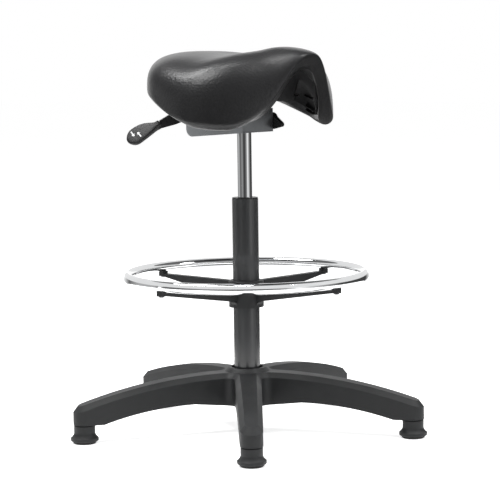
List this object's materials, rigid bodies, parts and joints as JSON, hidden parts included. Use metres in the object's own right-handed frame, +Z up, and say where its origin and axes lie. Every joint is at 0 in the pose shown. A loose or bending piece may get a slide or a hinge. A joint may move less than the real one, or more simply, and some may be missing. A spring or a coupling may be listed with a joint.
{
  "type": "saddle stool",
  "caption": "Height-adjustable saddle stool: swivelling, tilting moulded saddle on a gas lift, with a chrome foot ring and a star base on fixed glides.",
  "frame": {"origin": "on the floor under the column axis", "axes": "+Z up; the rider faces -Y; the height lever is on the rider's right, towards -X"},
  "size_m": [0.6471, 0.6575, 0.7225],
  "materials": {
    "base_nylon": "fine moulded texture",
    "sole_rubber": "matt",
    "column_paint": "satin powder coat",
    "chrome": "polished plate",
    "bush_plastic": "moulded",
    "spider_nylon": "fine moulded texture",
    "zinc_steel": "bright zinc plate",
    "plain_steel": "machined",
    "plate_paint": "black powder coat",
    "handle_plastic": "moulded",
    "shell_plastic": "moulded, ribbed inside",
    "seat_skin": "grained satin moulded skin",
    "insert_brass": "knurled"
  },
  "bodies": {
    "base": {"star_base": "base_nylon", "glide_1": "base_nylon", "glide_2": "base_nylon", "glide_3": "base_nylon", "glide_4": "base_nylon", "glide_5": "base_nylon", "glide_sole_1": "sole_rubber", "glide_sole_2": "sole_rubber", "glide_sole_3": "sole_rubber", "glide_sole_4": "sole_rubber", "glide_sole_5": "sole_rubber", "glide_stem_1": "plain_steel", "glide_stem_2": "plain_steel", "glide_stem_3": "plain_steel", "glide_stem_4": "plain_steel", "glide_stem_5": "plain_steel", "column_tube": "column_paint", "column_bush": "bush_plastic", "bearing_washer_lower": "plain_steel", "ball_cage": "bush_plastic", "bearing_balls": "plain_steel"},
    "lift_rod": {"piston_rod": "plain_steel", "rod_clip": "plain_steel", "bearing_washer_upper": "plain_steel", "bump_stop": "sole_rubber", "piston": "bush_plastic"},
    "carrier": {"gas_cylinder": "chrome", "rod_guide": "bush_plastic", "tilt_bracket": "zinc_steel", "taper_socket": "zinc_steel", "pivot_pin": "zinc_steel", "pivot_clip": "zinc_steel", "lever_pin": "zinc_steel"},
    "seat": {"seat_plate": "plate_paint", "seat_bolts": "plain_steel", "seat_inserts": "insert_brass", "seat_shell": "shell_plastic", "seat_foam": "seat_skin"},
    "height_lever": {"lever_bar": "plate_paint", "lever_paddle": "handle_plastic"},
    "release_button": {"release_pin": "plain_steel"},
    "tilt_lock": {"tilt_lock_lever": "handle_plastic"},
    "foot_ring": {"ring_spider": "spider_nylon", "ring_tube": "chrome", "ring_screws": "plain_steel", "ring_saddle_1": "spider_nylon", "ring_saddle_2": "spider_nylon", "ring_saddle_3": "spider_nylon", "ring_saddle_4": "spider_nylon"},
    "ring_clamp": {"clamp_stud": "plain_steel", "clamp_knob": "spider_nylon"}
  },
  "joints": [
    {"name": "swivel", "type": "hinge", "parent": "base", "child": "lift_rod", "pos_m": [0, 0, 0.061], "axis": [0, 0, 1], "continuous": true},
    {"name": "height", "type": "slide", "parent": "lift_rod", "child": "carrier", "axis": [0, 0, 1], "range_m": [-0.115, 0]},
    {"name": "seat_tilt", "type": "hinge", "parent": "carrier", "child": "seat", "pos_m": [0, -0.022, 0.59], "axis": [1, 0, 0], "range_deg": [0, 12]},
    {"name": "height_lever", "type": "hinge", "parent": "carrier", "child": "height_lever", "pos_m": [-0.02825, 0.02231, 0.6226], "axis": [0.6198, 0.7848, 0], "range_deg": [0, 6], "stiffness_Nm_per_rad": 2, "springref_deg": -5.73},
    {"name": "release_pin", "type": "slide", "parent": "carrier", "child": "release_button", "axis": [0, 0, 1], "range_m": [-0.005, 0]},
    {"name": "tilt_lock", "type": "hinge", "parent": "carrier", "child": "tilt_lock", "pos_m": [0.052, -0.022, 0.59], "axis": [1, 0, 0], "range_deg": [-45, 0]},
    {"name": "footring_height", "type": "slide", "parent": "base", "child": "foot_ring", "axis": [0, 0, 1], "range_m": [-0.1, 0.1]},
    {"name": "clamp_knob", "type": "hinge", "parent": "foot_ring", "child": "ring_clamp", "pos_m": [0.03968, 0.03662, 0.262], "axis": [0.7349, 0.6782, 0], "continuous": true}
  ],
  "couplings": [
    {"joint": "release_pin", "follows": "height_lever", "m_per_rad": -0.036}
  ]
}
